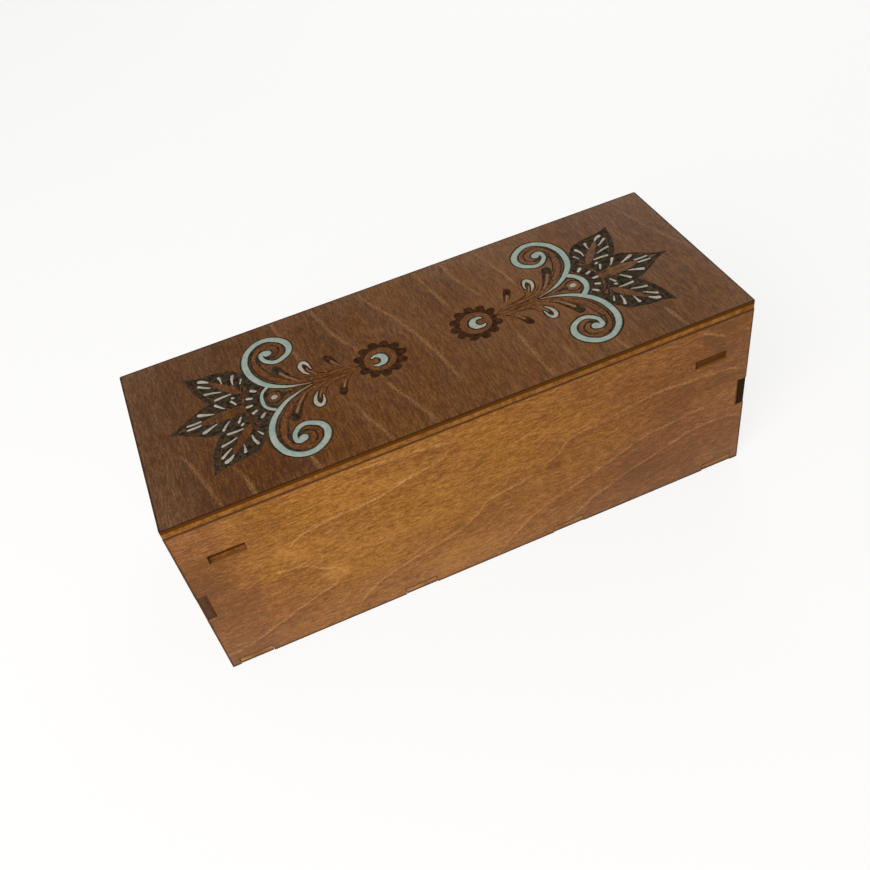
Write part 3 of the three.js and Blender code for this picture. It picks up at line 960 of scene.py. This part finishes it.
def gridded(item):
    """Cuts a solid's faces along a grid of upright planes."""
    edit_all(item)
    for way in (Vector((1, 0, 0)), Vector((0, 1, 0))):
        low, high = LID_LOW.dot(way), LID_HIGH.dot(way)
        cells = round((high - low) / CARVING_CELL)
        for step in range(1, cells):
            bpy.ops.mesh.select_all(action="SELECT")
            bpy.ops.mesh.bisect(plane_co=way * (low + step * (high - low) / cells), plane_no=way)
    end_edit()
    return item


def level_box(name, bottom, top):
    """A box over the whole lid between two levels."""
    return box_between(name, Vector((LID_LOW.x, LID_LOW.y, bottom)), Vector((LID_HIGH.x, LID_HIGH.y, top)))


def grooves(name, lines, depth, kept=()):
    """What is cut out of the lid along the lines, down to a depth, except where wood is kept. Each
    line is cut level by itself first, because only then can they all be joined."""
    levelled = []
    for line in lines:
        box = level_box(name, LID_TOP - depth, LID_TOP + depth)
        levelled.append(combine(box, [line], "INTERSECT"))
    whole = combine(levelled[0], levelled[1:], "UNION")
    return combine(whole, kept, "DIFFERENCE") if kept else whole


def lines_over_the_dark(spray):
    """The brown lines over the dark: their cutters scorch them, and copies keep the dark off them."""
    return cutters(spray, both_sides([SMALL_DROP_TAIL, LONG_DROP_STREAK, SIDE_LEAF_LINE]))


def burnt_grooves(spray, kept_lines):
    """Everything that is burnt dark in one spray. Ribs of bare wood stay between it."""
    strokes = both_sides([widened(VOLUTE, VOLUTE_OUTLINE), *VOLUTE_INNER_LINES, VOLUTE_COIL_FILL, SMALL_DROP,
                          *SMALL_DROP_SHADOWS, widened(LOOP_DROP, LOOP_DROP_OUTLINE), LOOP_DROP_INSIDE,
                          LONG_DROP, *LONG_DROP_SHADOWS, SIDE_GAP, *SIDE_LEAF_ROOT])
    strokes += STEM_DARK_LINES + ROSETTE_PETALS + DARK_DOTS
    strokes += [widened(EYE, EYE_OUTLINE), ARC_BAND, widened(ARC, ARC_OUTLINE)]
    lines = cutters(spray, strokes)
    lines += cutters(spray, [ROSETTE_RING, PEARL_RING], closed=True)
    lines += [area_cutter(spray, leaf) for leaf in (SIDE_LEAF, mirrored(SIDE_LEAF), MIDDLE_LEAF)]
    ribs = cutters(spray, both_sides([*SIDE_MIDRIB, SIDE_ROOT_LINE, MIDDLE_LEAF_LINE])
                   + [MIDDLE_LEAF_TIP, BAND_LINE])
    middle_rib, *barbs = cutters(spray, MIDDLE_MIDRIB)
    ribs += [combine(middle_rib, cutters(spray, MIDDLE_LEAF_MARKS), "DIFFERENCE"), *barbs]
    return grooves("burnt_grooves", lines, BURN_DEPTH, kept=ribs + kept_lines)


def scorched_grooves(spray, kept_lines):
    """The brown lines of one spray, where the hot tip only passed over the wood."""
    strokes = both_sides([VOLUTE_WARM_BAND, LOOP_DROP_TAIL]) + STEM_BAND + [EYE_SHADE]
    lines = cutters(spray, strokes) + cutters(spray, [ROSETTE_INNER_RING], closed=True)
    return grooves("scorched_grooves", lines + kept_lines, SCORCH_DEPTH)


def layer_of(cutter, name, top_depth, depth, material):
    """The part of a cutter between two depths, as a thin layer of its own."""
    layer = gridded(level_box(name, LID_TOP - depth, LID_TOP - top_depth))
    return dress(combine(layer, [copy_of(cutter)], "INTERSECT"), material)


def dress(item, material):
    """Gives a finished piece of the lid its finish and its body."""
    item.data.materials.clear()
    item.data.materials.append(material)
    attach(item, "lid")
    return item


def painted(spray, name, strokes, material):
    """Brush strokes of one paint, as crowned ribbons."""
    item = bars(f"{spray.name}_{name}", spray, strokes, PAINT_LEVEL, bevel_resolution=3, resolution_u=6)
    bpy.ops.object.shade_smooth()
    edit_all(item)
    bpy.ops.transform.resize(value=(1, 1, PAINT_THICKNESS_SHARE), center_override=(0, 0, PAINT_LEVEL))
    end_edit()
    return dress(item, material)


def bevel_edges(item, upright, width, steps):
    """Bevels either the upright or the level edges of a board."""
    edit_all(item)
    bpy.ops.mesh.select_mode(type="EDGE")
    bpy.ops.mesh.select_all(action="DESELECT")
    end_edit()
    for edge in item.data.edges:
        start, end = (item.data.vertices[i].co for i in edge.vertices)
        edge.select = (abs(start.z - end.z) > LID_ARRIS) == upright
    bpy.ops.object.mode_set(mode="EDIT")
    bpy.ops.mesh.bevel(offset=width, segments=steps, affect="EDGES")
    end_edit()


def lid_blank():
    """The lid board before it is burnt: rounded corners and sanded arrises."""
    item = box_between("carved_lid_board", LID_LOW, LID_HIGH)
    bevel_edges(item, True, LID_CORNER_RADIUS, LID_CORNER_STEPS)
    bevel_edges(item, False, LID_ARRIS, LID_ARRIS_STEPS)
    return item


# The strokes of each paint that are the same in both sprays
THINNED_TIPS = both_sides([SMALL_DROP_TIP, LOOP_DROP_TIP, LONG_DROP_TIP])
WHITE_DABS = [*both_sides(SIDE_LEAF_DABS + MIDDLE_LEAF_DABS + [LOOP_DROP]), *MIDDLE_TIP_DABS, *ARC_DABS,
              *EYE_TOUCHES, PEARL_DAB]

lid = gridded(lid_blank())
for spray in (Spray("left_spray", side=-1, seed=11), Spray("right_spray", side=1, seed=23)):
    over_lines = lines_over_the_dark(spray)
    burnt = burnt_grooves(spray, [copy_of(line) for line in over_lines])
    scorched = combine(scorched_grooves(spray, over_lines), [copy_of(burnt)], "DIFFERENCE")
    layer_of(burnt, f"{spray.name}_burnt_lines", CHAR_RECESS, BURN_DEPTH, char)
    layer_of(scorched, f"{spray.name}_scorched_lines", SCORCH_DEPTH / 2, SCORCH_DEPTH, scorch)
    lid = combine(lid, [burnt, scorched], "DIFFERENCE")
    arc = widened(ARC, spray.side * ARC_DIFFERENCE)
    painted(spray, "turquoise_paint", [*both_sides([VOLUTE]), arc, EYE], turquoise)
    painted(spray, "thinned_paint", THINNED_TIPS, thinned)
    painted(spray, "white_paint", WHITE_DABS, white)
dress(lid, lid_wood)
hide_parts("lid_board")


# Camera, floor and light

# The camera's place and aim in millimetres, and how far it is turned about its own line of sight
CAMERA_PLACE = Vector((-75.56, -287.55, 337.65)) * MM
CAMERA_AIM = Vector((-6.86, -7.38, 45)) * MM
CAMERA_ROLL = math.radians(-11.52)
LENS = 39.866
SENSOR_WIDTH = 36

# The floor's size in metres, and how far it lies under the box, so that the two don't flicker
FLOOR_SIZE = 6
FLOOR_DROP = 0.02 * MM

# How much of the floor's white is its own glow, and how strongly the world lights the box
FLOOR_GLOW = 0.8
WORLD_LIGHT = 0.42

# The lamps: place, aim and size in metres, power in watts, and colour
LAMPS = {
    "key_lamp": ((-0.58, -0.52, 0.72), (-0.03, 0, 0.05), 0.6, 8.6, "#fff8ef"),
    "back_lamp": ((0.55, 0.75, 0.5), (0.06, 0, 0.09), 0.6, 2.0, "#fffaf4"),
}


def set_up(name, data, place, aim, roll=0.0):
    """The camera or a lamp at its place, turned to its aim."""
    item = bpy.data.objects.new(name, data)
    bpy.context.scene.collection.objects.link(item)
    item.location = place
    item.rotation_mode = "QUATERNION"
    looking = (Vector(aim) - Vector(place)).to_track_quat("-Z", "Y")
    item.rotation_quaternion = looking @ Quaternion((0, 0, 1), roll)
    return item


def make_camera():
    data = bpy.data.cameras.new("camera")
    data.lens = LENS
    data.sensor_width = SENSOR_WIDTH
    bpy.context.scene.camera = set_up("camera", data, CAMERA_PLACE, CAMERA_AIM, CAMERA_ROLL)


def floor_material():
    """A white floor: what the camera sees of it is nearly white by itself, and keeps the shadow."""
    material, add, shader = new_material("white_floor")
    feed(shader, {"Base Color": linear("#fafaf8"), "Roughness": 0.9, "Specular IOR Level": 0.0})
    rays = add("LightPath")
    mirror = add("Math.MAXIMUM", rays.outputs["Is Glossy Ray"], rays.outputs["Is Transmission Ray"])
    seen = add("Math.MAXIMUM", rays.outputs["Is Camera Ray"], mirror)
    share = add("Math.MULTIPLY", seen, FLOOR_GLOW)
    glow = add("Emission", (1, 1, 1, 1), 1.0)
    mixed = add("MixShader", share, shader, glow)
    feed(material.node_tree.nodes["Material Output"], {"Surface": mixed})
    return material


def make_floor():
    deselect_all()
    bpy.ops.mesh.primitive_plane_add(size=FLOOR_SIZE, location=(0, 0, -FLOOR_DROP))
    item = bpy.context.active_object
    item.name = "floor"
    bpy.ops.object.transform_apply(location=True)
    item.data.materials.append(floor_material())


def make_lamp(name, place, aim, size, power, colour):
    data = bpy.data.lights.new(name, "AREA")
    data.shape = "SQUARE"
    data.size = size
    data.energy = power
    data.color = linear(colour)[:3]
    set_up(name, data, place, aim)


def make_world():
    world = bpy.data.worlds.new("studio")
    world.use_nodes = True
    add = partial(add_node, world.node_tree)
    rays = add("LightPath")
    seen = add("MapRange", rays.outputs["Is Camera Ray"], 0.0, 1.0, WORLD_LIGHT, 1.0)
    feed(world.node_tree.nodes["Background"], {"Color": (1, 1, 1, 1), "Strength": seen})
    bpy.context.scene.world = world


make_camera()
make_floor()
make_world()
for name, settings in LAMPS.items():
    make_lamp(name, *settings)

bpy.context.scene.view_settings.view_transform = "Standard"
